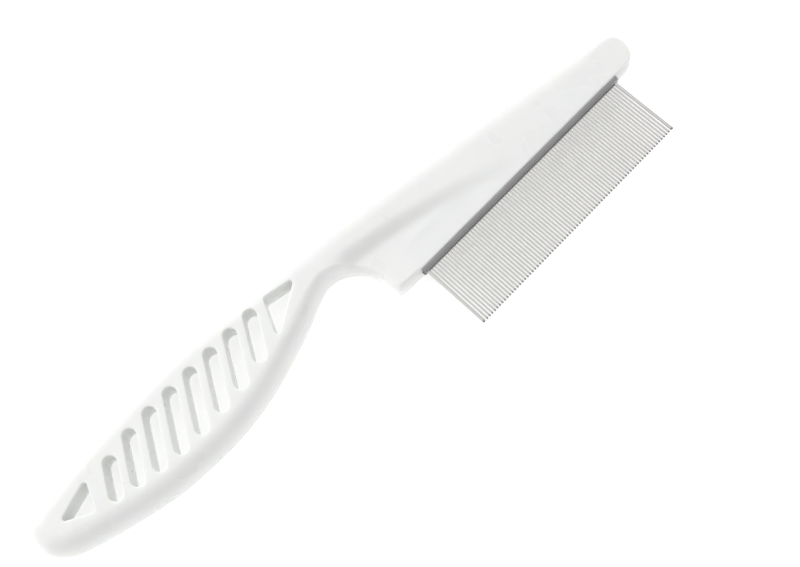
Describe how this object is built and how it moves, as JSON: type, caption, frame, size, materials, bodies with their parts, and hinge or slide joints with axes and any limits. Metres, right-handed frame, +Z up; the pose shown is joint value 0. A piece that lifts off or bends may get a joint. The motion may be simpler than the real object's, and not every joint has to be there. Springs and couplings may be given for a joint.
{
  "type": "flea comb",
  "caption": "Hand-held pet comb with a slotted leaf-shaped plastic grip and one row of fine round steel wire teeth that lift fleas and dirt out of a coat.",
  "frame": {"origin": "middle of the comb's outline on the plane of the flat back that it lies on", "axes": "+X along the comb from the grip's butt to the head's toe, parallel to the row of teeth; the teeth point to -Y; +Z up, out of the ridged face"},
  "size_m": [0.1686, 0.0444, 0.0072],
  "materials": {
    "white_plastic": "smooth moulded, softly glossy",
    "channel_steel": "rolled strip, dull sheen",
    "tooth_steel": "drawn and polished wire",
    "spacer_plastic": "plain moulded",
    "resin": "set clear amber resin"
  },
  "bodies": {
    "root": {"handle": "white_plastic", "tooth_channel": "channel_steel", "spacer_strip": "spacer_plastic", "bonding_resin": "resin", "teeth_01": "tooth_steel", "teeth_02": "tooth_steel", "teeth_03": "tooth_steel", "teeth_04": "tooth_steel", "teeth_05": "tooth_steel", "teeth_06": "tooth_steel", "teeth_07": "tooth_steel", "teeth_08": "tooth_steel", "teeth_09": "tooth_steel", "teeth_10": "tooth_steel", "teeth_11": "tooth_steel", "teeth_12": "tooth_steel", "teeth_13": "tooth_steel", "teeth_14": "tooth_steel", "teeth_15": "tooth_steel", "teeth_16": "tooth_steel", "teeth_17": "tooth_steel", "teeth_18": "tooth_steel", "teeth_19": "tooth_steel", "teeth_20": "tooth_steel", "teeth_21": "tooth_steel", "teeth_22": "tooth_steel", "teeth_23": "tooth_steel", "teeth_24": "tooth_steel", "teeth_25": "tooth_steel", "guard_pin_heel": "tooth_steel", "guard_pin_toe": "tooth_steel"}
  },
  "joints": []
}
